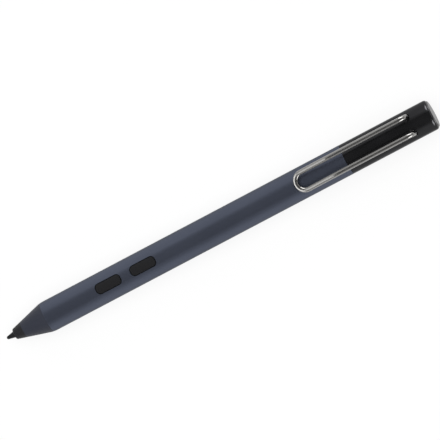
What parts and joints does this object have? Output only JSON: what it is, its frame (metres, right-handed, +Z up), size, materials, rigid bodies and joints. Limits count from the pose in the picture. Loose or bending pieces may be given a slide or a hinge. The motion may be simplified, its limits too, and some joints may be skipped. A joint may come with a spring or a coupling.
{
  "type": "stylus pen",
  "caption": "Slim round stylus pen with a conical nose and fine nib, side buttons in a dark blue barrel, and a black screw-off tail with a wire clip and an end button.",
  "frame": {"origin": "on the table under the middle of the pen's length, with the pen lying clip up", "axes": "+X along the pen from tip to tail, +Z up, on the side of the buttons and the clip"},
  "size_m": [0.1456, 0.0096, 0.0126],
  "materials": {
    "barrel_finish": "fine bead-blasted anodising, dark slate blue",
    "nose_resin": "matt moulded resin in the barrel's slate blue",
    "black_resin": "satin black moulded resin",
    "collar_resin": "matt black moulded resin",
    "nib_resin": "hard low-friction resin, matt",
    "button_resin": "matt black moulded resin",
    "end_button_resin": "satin black moulded resin",
    "polished_wire": "polished nickel-plated spring wire",
    "inner_resin": "moulded resin, hidden",
    "holder_steel": "plain steel",
    "spring_steel": "spring steel wire",
    "contact_metal": "gold-plated sheet",
    "seal_rubber": "soft rubber",
    "board_laminate": "green solder mask",
    "chip_resin": "moulded epoxy",
    "chip_ceramic": "fired ceramic",
    "plunger_resin": "white resin",
    "cell_jacket": "plain foil jacket over the steel can",
    "coupler_metal": "turned and threaded"
  },
  "bodies": {
    "barrel": {"barrel": "barrel_finish", "nose_cone": "nose_resin", "nose_collar": "collar_resin", "tilt_electrode": "contact_metal", "tip_guide": "inner_resin", "sensor_housing": "inner_resin", "sensor_pad": "seal_rubber", "sensor_board": "board_laminate", "sensor_cap": "inner_resin", "chassis": "inner_resin", "main_board": "board_laminate", "board_screws": "holder_steel", "controller_chip": "chip_resin", "tip_driver_chip": "chip_resin", "crystal": "chip_ceramic", "boost_inductor": "chip_resin", "board_capacitors": "chip_ceramic", "lower_switch_base": "chip_resin", "upper_switch_base": "chip_resin", "cell_contact": "contact_metal", "cell_can": "cell_jacket", "cell_seal": "inner_resin", "cell_cap": "contact_metal"},
    "nib": {"nib": "nib_resin", "nib_holder": "holder_steel", "tip_spring": "spring_steel"},
    "lower_button": {"lower_button": "button_resin", "lower_switch_plunger": "plunger_resin"},
    "upper_button": {"upper_button": "button_resin", "upper_switch_plunger": "plunger_resin"},
    "tail_seal": {"tail_seal": "seal_rubber"},
    "tail": {"tail_tube": "black_resin", "tail_coupler": "coupler_metal", "spring_cup": "inner_resin", "cell_spring": "spring_steel", "coin_sleeve": "inner_resin", "coin_cells": "holder_steel", "coin_contact": "contact_metal", "tail_frame": "inner_resin", "tail_board": "board_laminate", "radio_chip": "chip_resin", "antenna": "chip_ceramic", "clip_anchor": "holder_steel", "tail_switch_base": "chip_resin"},
    "tail_button": {"tail_button": "end_button_resin", "tail_switch_plunger": "plunger_resin"},
    "clip": {"clip_wire": "polished_wire"}
  },
  "joints": [
    {"name": "nib_press", "type": "slide", "parent": "barrel", "child": "nib", "axis": [1, 0, 0], "range_m": [0, 0.00035], "stiffness_N_per_m": 2000, "deforming": ["tip_spring"]},
    {"name": "lower_button_press", "type": "slide", "parent": "barrel", "child": "lower_button", "axis": [0, 0, -1], "range_m": [0, 0.00025], "stiffness_N_per_m": 4000},
    {"name": "upper_button_press", "type": "slide", "parent": "barrel", "child": "upper_button", "axis": [0, 0, -1], "range_m": [0, 0.00025], "stiffness_N_per_m": 4000},
    {"name": "tail_lift", "type": "slide", "parent": "barrel", "child": "tail_seal", "axis": [1, 0, 0], "range_m": [0, 0.004]},
    {"name": "tail_twist", "type": "hinge", "parent": "tail_seal", "child": "tail", "pos_m": [0.04336, 0, 0.0048], "axis": [1, 0, 0], "range_deg": [0, 1440]},
    {"name": "tail_button_press", "type": "slide", "parent": "tail", "child": "tail_button", "axis": [-1, 0, 0], "range_m": [0, 0.0004], "stiffness_N_per_m": 5000},
    {"name": "clip_lift", "type": "hinge", "parent": "tail", "child": "clip", "pos_m": [0.06544, 0, 0.0074], "axis": [0, 1, 0], "range_deg": [0, 4], "stiffness_Nm_per_rad": 1.3}
  ],
  "couplings": [
    {"joint": "tail_lift", "follows": "tail_twist", "m_per_rad": 0.00015915}
  ]
}
